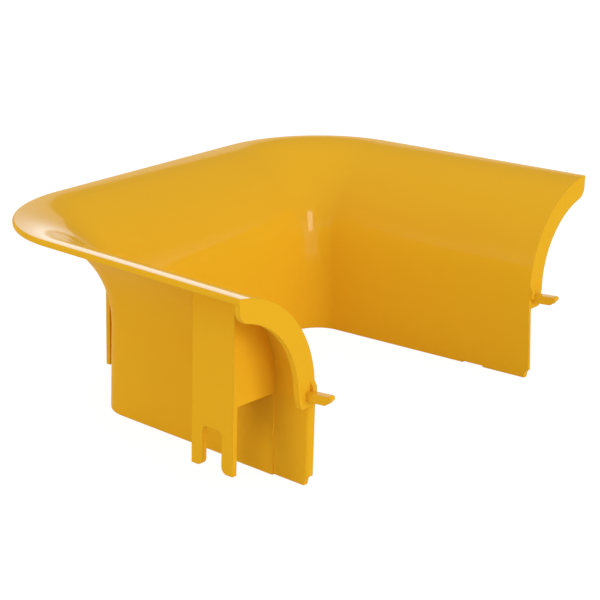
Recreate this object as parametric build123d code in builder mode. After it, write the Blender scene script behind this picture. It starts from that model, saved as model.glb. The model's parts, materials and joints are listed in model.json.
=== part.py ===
"""Flared trumpet fitting for a fibre raceway: one U-shaped moulding with a rolled-out rim.

The part stands on the foot of its wall. +Z is up, +X points out of the open side,
and the part is its own mirror image across the XZ plane. Sizes are in millimetres.
"""

import os
from math import cos, radians, sin, tan

from build123d import *

# Plan of the wall's foot, measured on its inner face
leg_length = 101.4
mouth_width = 124.9
leg_splay = 2.4
corner_radius = 11.8

# Section of the wall and of the flare above it
rim_height = 72.0
wall = 2.3
inner_lean = 2.8
outer_lean = 2.4
inner_draw = 0.32
flare_land = 2.4
flare_radius = 38.1
flare_angle = 82.0
rim_lip = 2.1
rim_edge = 2.2
rim_round = 0.7
foot_round = 0.5

# Rib that closes the flare at each end of the wall
rib_thickness = 2.0
rib_depth = 5.9
rib_tip_height = 8.1
rib_tip_round = 4.5
rib_tip_inset = 0.2
rib_foot_drop = 6.3
rib_foot_depth = 4.4
rib_foot_round = 1.2

# Upright edge and lower corner at each end of the wall
end_flat = 0.6
end_notch_length = 2.1
end_notch_height = 3.5

# Tongue at each end of the wall, and the fin above it
tongue_length = 9.8
tongue_thickness = 2.6
tongue_offset = 2.1
tongue_height = 3.15
tongue_drop = 2.35
tongue_rise = 4.0
tongue_tip_round = 0.8
tongue_nose_length = 1.9
tongue_nose_flat = 0.4
tongue_nose_round = 1.2
root_depth = 1.5
fin_reach = 1.1
fin_thickness = 2.0
fin_inset = 0.2
fin_height = 4.8
fin_slope_height = 1.9

# Hooked brackets on the outside of the wall
bracket_gap = 17.2
plate_thickness = 1.9
side_thickness = 2.4
side_foot_height = 28.4
prong_width = 5.0
prong_tip_height = 5.1
prong_round = 2.3
slot_width = 8.8
slot_height = 19.2
slot_round = 2.0
pad_rise = 0.5
leg_bracket_setback = 15.4
web_bracket_edge = 36.9

# Shallow relief behind each bracket, in the inner side of the wall's foot
relief_width = 9.3
relief_height = 0.7
relief_depth = 1.9

# Section points worked out from the sizes above: u runs outwards, z upwards
lip_z = rim_height - rim_lip * cos(radians(flare_angle))
flare_foot = lip_z - flare_radius * sin(radians(flare_angle))
lean_top = flare_foot - flare_land
crease_u = -lean_top * tan(radians(inner_lean))
inner_u = crease_u + inner_draw
outer_u = wall - lean_top * tan(radians(outer_lean))
middle_u = (inner_u + outer_u) / 2
lip_u = inner_u + flare_radius * (1 - cos(radians(flare_angle)))
overhang = lip_u + rim_lip * sin(radians(flare_angle))
open_x = (leg_length + overhang - tongue_length) / 2
web_x = open_x - leg_length
bracket_width = 2 * prong_width + slot_width
rib_foot = flare_foot - rib_foot_drop
tongue_z = flare_foot - tongue_drop

# Plan directions of the front leg and the centre of its corner with the web
leg_outward = Vector(-sin(radians(leg_splay)), -cos(radians(leg_splay)), 0)
leg_inward_run = Vector(-cos(radians(leg_splay)), sin(radians(leg_splay)), 0)
corner_x = web_x + corner_radius
corner_y = -mouth_width / 2 + (
    corner_radius - (corner_x - open_x) * sin(radians(leg_splay))
) / cos(radians(leg_splay))
leg_run = (leg_length - corner_radius) / cos(radians(leg_splay)) + corner_radius * tan(radians(leg_splay))
trim_margin = overhang * tan(radians(leg_splay)) + wall

# Section planes: local x is u, local y is z, and the normal runs along the wall
leg_plane = Plane((open_x, -mouth_width / 2, 0), x_dir=leg_outward, z_dir=leg_inward_run)
end_plane = Plane((open_x, -mouth_width / 2, 0), x_dir=(0, -1, 0), z_dir=(-1, 0, 0))
web_plane = Plane((web_x, 0, 0), x_dir=(-1, 0, 0), z_dir=(0, 1, 0))


def lean_at(height):
    """How far the outer face has drawn inwards at a height above its foot."""
    return height * tan(radians(outer_lean))


def middle_at(height):
    """Middle of the lower wall's thickness at a height above its foot."""
    return (wall - lean_at(height) - height * tan(radians(inner_lean))) / 2


def wall_section():
    """Closed section through the wall and the flare."""
    inner_bend = (inner_u, flare_foot)
    outer_bend = (outer_u, flare_foot)
    rim_bottom = (overhang, rim_height - rim_edge)
    with BuildSketch() as section:
        with BuildLine():
            Polyline(outer_bend, (outer_u, lean_top), (wall, 0), (0, 0), (crease_u, lean_top), inner_bend)
            TangentArc(inner_bend, (lip_u, lip_z), tangent=(0, 1))
            Polyline((lip_u, lip_z), (overhang, rim_height), rim_bottom)
            TangentArc(outer_bend, rim_bottom, tangent=(0, 1))
        make_face()
        fillet(section.vertices().group_by(Axis.Y)[0], foot_round)
        fillet(section.vertices().group_by(Axis.X)[-1], rim_round)
    return section.sketch


def shelter():
    """Region outside the wall and below the flare, up to the middle of their thickness."""
    middle_bend = (middle_u, flare_foot)
    middle_tip = (overhang, rim_height - rim_edge / 2)
    with BuildSketch() as region:
        with BuildLine():
            Polyline((wall / 2, 0), (middle_u, lean_top), middle_bend)
            TangentArc(middle_bend, middle_tip, tangent=(0, 1))
            Polyline(middle_tip, (overhang, 0), (wall / 2, 0))
        make_face()
    return region.sketch


def end_rib():
    """Outline of the rib that follows the underside of the flare at an open end."""
    middle_bend = (middle_u, flare_foot)
    middle_tip = (overhang - rib_tip_inset, rim_height - rim_edge / 2)
    tip_corner = (overhang - rib_tip_inset, rim_height - rib_tip_height)
    outer_bend = (outer_u + rib_depth, flare_foot)
    outer_foot = (wall - lean_at(rib_foot) + rib_foot_depth, rib_foot)
    with BuildSketch() as rib:
        with BuildLine():
            Polyline(outer_bend, outer_foot, (middle_at(rib_foot), rib_foot), (middle_u, lean_top), middle_bend)
            TangentArc(middle_bend, middle_tip, tangent=(0, 1))
            Line(middle_tip, tip_corner)
            TangentArc(outer_bend, tip_corner, tangent=(0, 1))
        make_face()
        fillet(rib.vertices().sort_by_distance(tip_corner)[0], rib_tip_round)
        fillet(rib.vertices().sort_by_distance(outer_foot)[0], rib_foot_round)
    return rib.sketch


def leaning_band(inner, outer, bottom):
    """Upright band that leans with the wall, from one stand-off to another."""
    with BuildSketch() as band:
        with BuildLine():
            Polyline(
                (inner - lean_at(bottom), bottom),
                (outer - lean_at(bottom), bottom),
                (outer - lean_at(rim_height), rim_height),
                (inner - lean_at(rim_height), rim_height),
                close=True,
            )
        make_face()
    return band.sketch


def sheltered_band(inner, outer, bottom):
    """Part of a leaning band that lies below the flare."""
    with BuildSketch() as section:
        add(shelter())
        add(leaning_band(inner, outer, bottom), mode=Mode.INTERSECT)
    return section.sketch


def facing(start_plane):
    """Plane that faces a bracket squarely, centred on it at the inner face of the wall."""
    return Plane(
        start_plane.origin + start_plane.z_dir * bracket_width / 2,
        x_dir=start_plane.z_dir,
        z_dir=start_plane.z_dir.cross(Vector(0, 0, 1)),
    )


def bracket(start_plane):
    """Hooked bracket that begins at a section plane and runs along its normal."""
    plate_inner = wall + bracket_gap
    plate_outer = plate_inner + plate_thickness
    with BuildPart() as plate:
        with BuildSketch(start_plane):
            add(sheltered_band(plate_inner, plate_outer, prong_tip_height))
        extrude(amount=bracket_width)
        with BuildSketch(facing(start_plane)) as outline:
            with Locations((0, prong_tip_height)):
                Rectangle(bracket_width, rim_height, align=(Align.CENTER, Align.MIN))
            with Locations((0, slot_height)):
                Rectangle(slot_width, rim_height, align=(Align.CENTER, Align.MAX), mode=Mode.SUBTRACT)
            prong_corners = outline.vertices().group_by(Axis.Y)[0].sort_by(Axis.X)[1:3]
            fillet(prong_corners, min(prong_round, 0.9 * prong_width))
            slot_top = outline.vertices().filter_by_position(Axis.Y, 0, slot_height).group_by(Axis.Y)[-1]
            fillet(slot_top, min(slot_round, 0.45 * slot_width))
        extrude(amount=overhang + wall, both=True, mode=Mode.INTERSECT)

    with BuildPart() as whole:
        add(plate.part)
        for side in (0, bracket_width - side_thickness):
            with BuildSketch(start_plane.offset(side)):
                add(sheltered_band(0, plate_outer, side_foot_height))
            extrude(amount=side_thickness)
        with BuildSketch(start_plane):
            add(sheltered_band(0, wall + pad_rise, 0))
        extrude(amount=bracket_width)
    return whole.part


leg_bracket_plane = leg_plane.offset(leg_bracket_setback)
web_bracket_plane = web_plane.offset(-web_bracket_edge)
leg_bracket = bracket(leg_bracket_plane)
web_bracket = bracket(web_bracket_plane)

with BuildPart() as half_wall:
    # Front leg, run past the open end and trimmed square
    with BuildSketch(leg_plane.offset(-trim_margin)):
        add(wall_section())
    extrude(amount=leg_run + trim_margin)
    # Corner about an upright axis
    with BuildSketch(leg_plane.offset(leg_run)):
        add(wall_section())
    revolve(axis=Axis((corner_x, corner_y, 0), (0, 0, -1)), revolution_arc=90 - leg_splay)
    # Front half of the web
    with BuildSketch(web_plane.offset(corner_y)):
        add(wall_section())
    extrude(amount=-corner_y)
    split(bisect_by=Plane((open_x, 0, 0), z_dir=(1, 0, 0)), keep=Keep.BOTTOM)

# Frames at the open end: the outer upright edge, the tongue and the fin
edge_plane = Plane(
    (open_x, -mouth_width / 2 - wall / cos(radians(leg_splay)), 0),
    x_dir=-leg_inward_run,
    z_dir=Vector(0, 0, 1) - leg_outward * tan(radians(outer_lean)),
)
tongue_plane = Plane(
    (open_x, -mouth_width / 2 - middle_at(tongue_z) - tongue_offset, tongue_z),
    x_dir=(1, 0, 0),
    z_dir=(0, -1, 0),
)
fin_plane = Plane(
    (open_x, -mouth_width / 2 - inner_u - fin_inset, tongue_z), x_dir=(1, 0, 0), z_dir=(0, -1, 0)
)
end_round = wall - end_flat
tongue_lift = tan(radians(tongue_rise))
tongue_top = tongue_height / 2 + tongue_length * tongue_lift
nose_foot = (
    tongue_length - tongue_nose_length,
    (tongue_length - tongue_nose_length) * tongue_lift - tongue_height / 2,
)

with BuildPart() as flared_fitting:
    add(half_wall.part)
    # Rounded outer edge and notched lower corner of the open end
    with BuildSketch(edge_plane.offset(-wall)):
        with Locations((-end_round, end_round)):
            Rectangle(end_round + wall, end_round + wall, align=(Align.MIN, Align.MAX))
            Circle(end_round, mode=Mode.SUBTRACT)
    extrude(amount=rib_foot + wall, mode=Mode.SUBTRACT)
    with BuildSketch(Plane.XZ):
        with Locations((open_x, 0)):
            Ellipse(end_notch_length, end_notch_height)
    extrude(amount=mouth_width, mode=Mode.SUBTRACT)
    # Rib, tongue and fin of the open end
    with BuildSketch(end_plane):
        add(end_rib())
    extrude(amount=rib_thickness)
    with BuildSketch(tongue_plane) as tongue:
        with BuildLine():
            Polyline(
                (-root_depth, -tongue_height / 2 - root_depth * tongue_lift),
                nose_foot,
                (tongue_length, tongue_top - tongue_tip_round - tongue_nose_flat),
                (tongue_length, tongue_top),
                (-root_depth, tongue_height / 2 - root_depth * tongue_lift),
                close=True,
            )
        make_face()
        fillet(tongue.vertices().sort_by_distance(nose_foot)[0], tongue_nose_round)
        fillet(tongue.vertices().sort_by(Axis.Y)[-1], tongue_tip_round)
    extrude(amount=tongue_thickness / 2, both=True)
    with BuildSketch(fin_plane):
        with BuildLine():
            Polyline(
                (-root_depth, 0),
                (fin_reach, 0),
                (fin_reach, fin_height - fin_slope_height),
                (0, fin_height),
                (-root_depth, fin_height),
                close=True,
            )
        make_face()
    extrude(amount=fin_thickness)
    # Brackets, with the relief behind each
    add(leg_bracket)
    add(web_bracket)
    for start_plane in (leg_bracket_plane, web_bracket_plane):
        with BuildSketch(facing(start_plane).offset(-relief_depth)):
            Rectangle(relief_width, 2 * relief_height)
        extrude(amount=relief_depth + wall, mode=Mode.SUBTRACT)
    mirror(about=Plane.XZ)

flared_fitting.part.label = "flared_fitting"
os.makedirs("parts", exist_ok=True)
export_step(flared_fitting.part, "parts/flared_fitting.step")
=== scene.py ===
"""Dresses the flared raceway fitting as a yellow moulding and sets it on a plain white stage."""

import json
from math import pi, radians

import bpy
from bpy.props import FloatProperty, FloatVectorProperty, PointerProperty
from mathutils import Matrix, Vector

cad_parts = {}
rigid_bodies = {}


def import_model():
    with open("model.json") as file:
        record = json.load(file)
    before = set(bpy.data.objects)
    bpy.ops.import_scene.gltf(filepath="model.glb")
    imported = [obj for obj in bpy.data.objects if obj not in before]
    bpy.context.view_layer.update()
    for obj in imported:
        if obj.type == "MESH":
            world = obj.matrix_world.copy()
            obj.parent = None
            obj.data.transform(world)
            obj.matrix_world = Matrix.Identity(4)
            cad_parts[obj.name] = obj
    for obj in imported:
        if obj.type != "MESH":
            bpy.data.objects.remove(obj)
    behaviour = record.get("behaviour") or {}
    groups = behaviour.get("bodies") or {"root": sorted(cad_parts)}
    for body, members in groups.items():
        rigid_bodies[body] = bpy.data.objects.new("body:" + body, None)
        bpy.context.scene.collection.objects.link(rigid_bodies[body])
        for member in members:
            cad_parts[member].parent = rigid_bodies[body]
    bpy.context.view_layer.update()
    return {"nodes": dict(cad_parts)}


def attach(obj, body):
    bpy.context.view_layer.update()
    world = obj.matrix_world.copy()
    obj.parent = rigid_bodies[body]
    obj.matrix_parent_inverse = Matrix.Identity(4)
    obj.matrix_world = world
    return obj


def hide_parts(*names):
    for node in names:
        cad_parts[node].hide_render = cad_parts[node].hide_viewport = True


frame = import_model()

bl_info = {
    "name": "Flared raceway fitting",
    "version": (1, 0, 0),
    "blender": (4, 5, 0),
    "location": "View3D > Sidebar > Fitting",
    "description": "Dresses a flared fibre raceway fitting and lights it on a white stage",
    "category": "Object",
}

NODE = "flared_fitting"
BODY = "root"
PIECE = "moulding"
MERGE_DISTANCE = 0.000002
SENSOR_WIDTH = 36.0
PART_MIDDLE = (0.0, 0.0, 0.035)
CABLE_WAY_TOP = (0.05, 0.0, 0.2)


class MouldingSettings(bpy.types.PropertyGroup):
    """Sizes and colours of the moulded plastic."""

    plastic: FloatVectorProperty(
        name="Plastic",
        description="Colour of the dyed plastic",
        subtype="COLOR",
        size=3,
        min=0.0,
        max=1.0,
        default=(0.90, 0.485, 0.018),
    )
    deep_plastic: FloatVectorProperty(
        name="Deep plastic",
        description="Warmer colour where the dye has flowed thicker",
        subtype="COLOR",
        size=3,
        min=0.0,
        max=1.0,
        default=(0.88, 0.460, 0.017),
    )
    edge_round: FloatProperty(
        name="Edge round",
        description="Width of the soft round along the moulding's sharp edges",
        unit="LENGTH",
        min=0.0,
        default=0.0003,
    )
    smooth_angle: FloatProperty(
        name="Smooth angle",
        description="Faces that meet at less than this angle shade as one surface",
        subtype="ANGLE",
        default=radians(32),
    )
    gloss: FloatProperty(
        name="Gloss",
        description="Strength of the reflections on all faces",
        default=0.02,
    )
    polish: FloatProperty(
        name="Polish",
        description="Weight of the clear shine on the flare, over which the cables slide",
        default=0.9,
    )


class StudioSettings(bpy.types.PropertyGroup):
    """Camera, lamps and floor of the stage."""

    camera_place: FloatVectorProperty(
        name="Camera place",
        description="Where the camera stands",
        subtype="TRANSLATION",
        unit="LENGTH",
        size=3,
        default=(0.40476, -0.46745, 0.24116),
    )
    camera_azimuth: FloatProperty(
        name="Camera azimuth",
        description="Turn of the camera about the upright axis, from the front to the open side",
        subtype="ANGLE",
        default=radians(40.6045),
    )
    camera_elevation: FloatProperty(
        name="Camera elevation",
        description="How far the camera looks down",
        subtype="ANGLE",
        default=radians(18.5482),
    )
    camera_roll: FloatProperty(
        name="Camera roll",
        description="Turn of the camera about its own line of sight",
        subtype="ANGLE",
        default=radians(-0.1829),
    )
    lens: FloatProperty(
        name="Lens",
        description="Focal length on a 36 mm sensor, in millimetres",
        default=107.463,
    )
    key_power: FloatProperty(
        name="Key power",
        description="Power of the large lamp to the right of the camera",
        unit="POWER",
        default=6.0,
    )
    open_power: FloatProperty(
        name="Open side power",
        description="Power of the large lamp that looks into the open side",
        unit="POWER",
        default=8.2,
    )
    side_power: FloatProperty(
        name="Side power",
        description="Power of the large lamp to the left of the camera",
        unit="POWER",
        default=3.15,
    )
    back_power: FloatProperty(
        name="Back power",
        description="Power of the low lamp behind the left corner, which shines along the rim",
        unit="POWER",
        default=1.0,
    )
    web_power: FloatProperty(
        name="Web power",
        description="Power of the lamp high behind the web",
        unit="POWER",
        default=1.5,
    )
    horizon_light: FloatProperty(
        name="Horizon light",
        description="Strength of the even light from all round at eye level",
        default=0.03,
    )
    zenith_light: FloatProperty(
        name="Zenith light",
        description="Strength of the even light from straight above",
        default=0.79,
    )
    floor_tone: FloatProperty(
        name="Floor tone",
        description="Share of the light that the floor gives back to the part",
        default=0.8,
    )
    floor_width: FloatProperty(
        name="Floor width",
        description="Width of the pale floor",
        unit="LENGTH",
        default=4.0,
    )


def only(thing):
    """Makes one object the only selected one, and the active one."""
    bpy.ops.object.select_all(action="DESELECT")
    thing.select_set(True)
    bpy.context.view_layer.objects.active = thing


def new_node(tree, kind, values=None, **settings):
    """Adds a node of one kind, with its settings and the values of its inputs."""
    made = tree.nodes.new(kind)
    for name, setting in settings.items():
        setattr(made, name, setting)
    for socket, value in (values or {}).items():
        made.inputs[socket].default_value = value
    return made


def link(tree, source, output, target, socket):
    """Joins an output of one node to an input of another."""
    tree.links.new(source.outputs[output], target.inputs[socket])


def moulded_surface():
    """Node group for moulded plastic: a slow drift of dye, a fine grain and their height."""
    group = bpy.data.node_groups.new("moulded_surface", "ShaderNodeTree")
    face = group.interface
    face.new_socket("Drift scale", in_out="INPUT", socket_type="NodeSocketFloat")
    face.new_socket("Grain scale", in_out="INPUT", socket_type="NodeSocketFloat")
    face.new_socket("Drift", in_out="OUTPUT", socket_type="NodeSocketFloat")
    face.new_socket("Grain", in_out="OUTPUT", socket_type="NodeSocketFloat")
    face.new_socket("Height", in_out="OUTPUT", socket_type="NodeSocketFloat")
    inside = new_node(group, "NodeGroupInput")
    outside = new_node(group, "NodeGroupOutput")
    place = new_node(group, "ShaderNodeTexCoord")
    drift = new_node(group, "ShaderNodeTexNoise", {"Detail": 3.0, "Roughness": 0.45})
    grain = new_node(group, "ShaderNodeTexNoise", {"Detail": 2.0, "Roughness": 0.6})
    drift_share = 0.35
    height = new_node(group, "ShaderNodeMath", {1: drift_share}, operation="MULTIPLY_ADD")
    link(group, place, "Object", drift, "Vector")
    link(group, place, "Object", grain, "Vector")
    link(group, inside, "Drift scale", drift, "Scale")
    link(group, inside, "Grain scale", grain, "Scale")
    link(group, drift, "Fac", height, 0)
    link(group, grain, "Fac", height, 2)
    link(group, drift, "Fac", outside, "Drift")
    link(group, grain, "Fac", outside, "Grain")
    link(group, height, "Value", outside, "Height")
    return group


def polished_core():
    """Node group that is one on the flare, where it faces the cable way, and zero on the walls."""
    group = bpy.data.node_groups.new("polished_core", "ShaderNodeTree")
    face = group.interface
    face.new_socket("Centre", in_out="INPUT", socket_type="NodeSocketVector")
    face.new_socket("Polish", in_out="OUTPUT", socket_type="NodeSocketFloat")
    inside = new_node(group, "NodeGroupInput")
    outside = new_node(group, "NodeGroupOutput")
    place = new_node(group, "ShaderNodeTexCoord")
    inward = new_node(group, "ShaderNodeVectorMath", operation="SUBTRACT")
    towards = new_node(group, "ShaderNodeVectorMath", operation="NORMALIZE")
    facing = new_node(group, "ShaderNodeVectorMath", operation="DOT_PRODUCT")
    edge = new_node(group, "ShaderNodeMapRange", {"From Min": 0.45, "From Max": 0.75})
    link(group, inside, "Centre", inward, 0)
    link(group, place, "Object", inward, 1)
    link(group, inward, "Vector", towards, 0)
    link(group, towards, "Vector", facing, 0)
    link(group, place, "Normal", facing, 1)
    link(group, facing, "Value", edge, "Value")
    link(group, edge, "Result", outside, "Polish")
    return group


def plastic_material(settings):
    """Dyed plastic with a fine moulded grain, satin on the walls and polished on the flare."""
    material = bpy.data.materials.new("yellow_plastic_moulded")
    material.use_nodes = True
    tree = material.node_tree
    tree.nodes.clear()
    output = new_node(tree, "ShaderNodeOutputMaterial")
    shader = new_node(
        tree,
        "ShaderNodeBsdfPrincipled",
        {"IOR": 1.47, "Specular IOR Level": settings.gloss, "Coat Roughness": 0.10},
    )
    surface = new_node(
        tree,
        "ShaderNodeGroup",
        {"Drift scale": 22.0, "Grain scale": 2600.0},
        node_tree=moulded_surface(),
    )
    core = new_node(tree, "ShaderNodeGroup", {"Centre": CABLE_WAY_TOP}, node_tree=polished_core())
    dye = new_node(
        tree,
        "ShaderNodeMix",
        {"A": (*settings.plastic, 1.0), "B": (*settings.deep_plastic, 1.0)},
        data_type="RGBA",
    )
    shine = new_node(tree, "ShaderNodeMapRange", {"To Max": settings.polish})
    rough = new_node(tree, "ShaderNodeMapRange", {"To Min": 0.38, "To Max": 0.16})
    grain_share = 0.06
    uneven = new_node(tree, "ShaderNodeMath", {1: grain_share}, operation="MULTIPLY_ADD")
    soft_edge = new_node(tree, "ShaderNodeBevel", {"Radius": settings.edge_round})
    bump = new_node(tree, "ShaderNodeBump", {"Strength": 0.05, "Distance": 0.0002})
    link(tree, surface, "Drift", dye, "Factor")
    link(tree, dye, "Result", shader, "Base Color")
    link(tree, core, "Polish", shine, "Value")
    link(tree, shine, "Result", shader, "Coat Weight")
    link(tree, core, "Polish", rough, "Value")
    link(tree, surface, "Grain", uneven, 0)
    link(tree, rough, "Result", uneven, 2)
    link(tree, uneven, "Value", shader, "Roughness")
    link(tree, surface, "Height", bump, "Height")
    link(tree, soft_edge, "Normal", bump, "Normal")
    link(tree, bump, "Normal", shader, "Normal")
    link(tree, shader, "BSDF", output, "Surface")
    return material


class FITTING_OT_moulding(bpy.types.Operator):
    """Dress the moulding: a merged copy of the solid with a plastic finish"""

    bl_idname = "fitting.moulding"
    bl_label = "Moulding"

    def execute(self, context):
        settings = context.scene.fitting_moulding
        only(frame["nodes"][NODE])
        bpy.ops.object.duplicate()
        piece = context.active_object
        piece.name = PIECE
        piece.data.name = PIECE
        bpy.ops.object.parent_clear(type="CLEAR_KEEP_TRANSFORM")
        for key in [k for k in piece.keys() if k.startswith("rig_")]:
            del piece[key]
        bpy.ops.mesh.customdata_custom_splitnormals_clear()
        bpy.ops.object.mode_set(mode="EDIT")
        bpy.ops.mesh.select_all(action="SELECT")
        bpy.ops.mesh.remove_doubles(threshold=MERGE_DISTANCE)
        bpy.ops.object.mode_set(mode="OBJECT")
        bpy.ops.object.shade_smooth_by_angle(angle=settings.smooth_angle)
        piece.data.materials.clear()
        piece.data.materials.append(plastic_material(settings))
        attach(piece, BODY)
        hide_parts(NODE)
        return {"FINISHED"}


def seen_by_eye(tree):
    """One for rays that the camera, a reflection or clear glass sees directly, otherwise zero."""
    path = new_node(tree, "ShaderNodeLightPath")
    first = new_node(tree, "ShaderNodeMath", operation="MAXIMUM")
    second = new_node(tree, "ShaderNodeMath", operation="MAXIMUM")
    link(tree, path, "Is Camera Ray", first, 0)
    link(tree, path, "Is Glossy Ray", first, 1)
    link(tree, first, "Value", second, 0)
    link(tree, path, "Is Transmission Ray", second, 1)
    return second


def grey(tone):
    """Opaque colour of one tone in all its channels."""
    return (tone, tone, tone, 1.0)


def floor_material(settings):
    """Pale floor that looks white and keeps a light shadow."""
    material = bpy.data.materials.new("pale_floor")
    material.use_nodes = True
    tree = material.node_tree
    tree.nodes.clear()
    output = new_node(tree, "ShaderNodeOutputMaterial")
    pale = new_node(tree, "ShaderNodeBsdfDiffuse", {"Color": grey(settings.floor_tone)})
    shaded = new_node(tree, "ShaderNodeBsdfDiffuse", {"Color": grey(0.16)})
    white = new_node(tree, "ShaderNodeEmission", {"Strength": 0.92})
    both = new_node(tree, "ShaderNodeAddShader")
    choice = new_node(tree, "ShaderNodeMixShader")
    link(tree, shaded, "BSDF", both, 0)
    link(tree, white, "Emission", both, 1)
    link(tree, seen_by_eye(tree), "Value", choice, "Fac")
    link(tree, pale, "BSDF", choice, 1)
    link(tree, both, "Shader", choice, 2)
    link(tree, choice, "Shader", output, "Surface")
    return material


def white_world(settings):
    """World that looks white near the horizon and gives a soft light from all round."""
    world = bpy.data.worlds.new("white_studio")
    world.use_nodes = True
    tree = world.node_tree
    tree.nodes.clear()
    output = new_node(tree, "ShaderNodeOutputWorld")
    place = new_node(tree, "ShaderNodeTexCoord")
    split = new_node(tree, "ShaderNodeSeparateXYZ")
    level = new_node(
        tree,
        "ShaderNodeMapRange",
        {"From Max": 0.7, "To Min": settings.horizon_light, "To Max": settings.zenith_light},
    )
    band = new_node(tree, "ShaderNodeMapRange", {"From Max": 0.35, "To Min": 1.0, "To Max": 0.1})
    surround = new_node(tree, "ShaderNodeBackground", {"Color": grey(1.0)})
    white = new_node(tree, "ShaderNodeBackground", {"Color": grey(1.0)})
    choice = new_node(tree, "ShaderNodeMixShader")
    link(tree, place, "Generated", split, "Vector")
    link(tree, split, "Z", level, "Value")
    link(tree, split, "Z", band, "Value")
    link(tree, level, "Result", surround, "Strength")
    link(tree, band, "Result", white, "Strength")
    link(tree, seen_by_eye(tree), "Value", choice, "Fac")
    link(tree, surround, "Background", choice, 1)
    link(tree, white, "Background", choice, 2)
    link(tree, choice, "Shader", output, "Surface")
    return world


def soft_lamp(name, power, place, size, mirrored):
    """Area lamp of a width and height, turned to the part, which reflections show or leave out."""
    turn = (Vector(PART_MIDDLE) - Vector(place)).to_track_quat("-Z", "Y").to_euler()
    bpy.ops.object.light_add(type="AREA", location=place, rotation=turn)
    lamp = bpy.context.active_object
    lamp.name = name
    lamp.visible_glossy = mirrored
    lamp.data.shape = "RECTANGLE"
    lamp.data.size, lamp.data.size_y = size
    lamp.data.energy = power


class FITTING_OT_stage(bpy.types.Operator):
    """Set up the stage: pale floor, soft lamps, white surround and the camera"""

    bl_idname = "fitting.stage"
    bl_label = "Stage"

    def execute(self, context):
        settings = context.scene.fitting_studio
        scene = context.scene
        bpy.ops.object.select_all(action="DESELECT")
        bpy.ops.mesh.primitive_plane_add(size=settings.floor_width, location=(0, 0, 0))
        floor = context.active_object
        floor.name = "floor"
        floor.data.materials.append(floor_material(settings))
        for name, power, place, size, mirrored in (
            ("key_lamp", settings.key_power, (1.71, -0.66, 0.6), (0.6, 0.85), True),
            ("open_lamp", settings.open_power, (1.9, 0.1, 0.36), (0.7, 0.7), False),
            ("side_lamp", settings.side_power, (-0.42, -1.09, 0.35), (0.6, 0.6), False),
            ("back_lamp", settings.back_power, (-0.85, 0.88, 0.38), (0.7, 0.7), True),
            ("web_lamp", settings.web_power, (-1.0, 0.25, 0.7), (0.5, 0.5), False),
        ):
            soft_lamp(name, power, place, size, mirrored)
        scene.world = white_world(settings)
        bpy.ops.object.camera_add(
            location=settings.camera_place,
            rotation=(pi / 2 - settings.camera_elevation, 0, settings.camera_azimuth),
        )
        camera = context.active_object
        camera.name = "photo_camera"
        camera.rotation_euler.rotate_axis("Z", settings.camera_roll)
        camera.data.sensor_width = SENSOR_WIDTH
        camera.data.lens = settings.lens
        scene.camera = camera
        scene.view_settings.view_transform = "Standard"
        return {"FINISHED"}


class FITTING_PT_panel(bpy.types.Panel):
    """Lists the fitting's settings and operators"""

    bl_idname = "FITTING_PT_panel"
    bl_label = "Flared fitting"
    bl_space_type = "VIEW_3D"
    bl_region_type = "UI"
    bl_category = "Fitting"

    def draw(self, context):
        layout = self.layout
        for settings, operator in (
            (context.scene.fitting_moulding, FITTING_OT_moulding),
            (context.scene.fitting_studio, FITTING_OT_stage),
        ):
            for name in settings.__annotations__:
                layout.prop(settings, name)
            layout.operator(operator.bl_idname)


CLASSES = (
    MouldingSettings,
    StudioSettings,
    FITTING_OT_moulding,
    FITTING_OT_stage,
    FITTING_PT_panel,
)


def register():
    for item in CLASSES:
        bpy.utils.register_class(item)
    bpy.types.Scene.fitting_moulding = PointerProperty(type=MouldingSettings)
    bpy.types.Scene.fitting_studio = PointerProperty(type=StudioSettings)


def unregister():
    del bpy.types.Scene.fitting_studio
    del bpy.types.Scene.fitting_moulding
    for item in reversed(CLASSES):
        bpy.utils.unregister_class(item)


def main():
    register()
    bpy.ops.fitting.moulding()
    bpy.ops.fitting.stage()


if __name__ == "__main__":
    main()
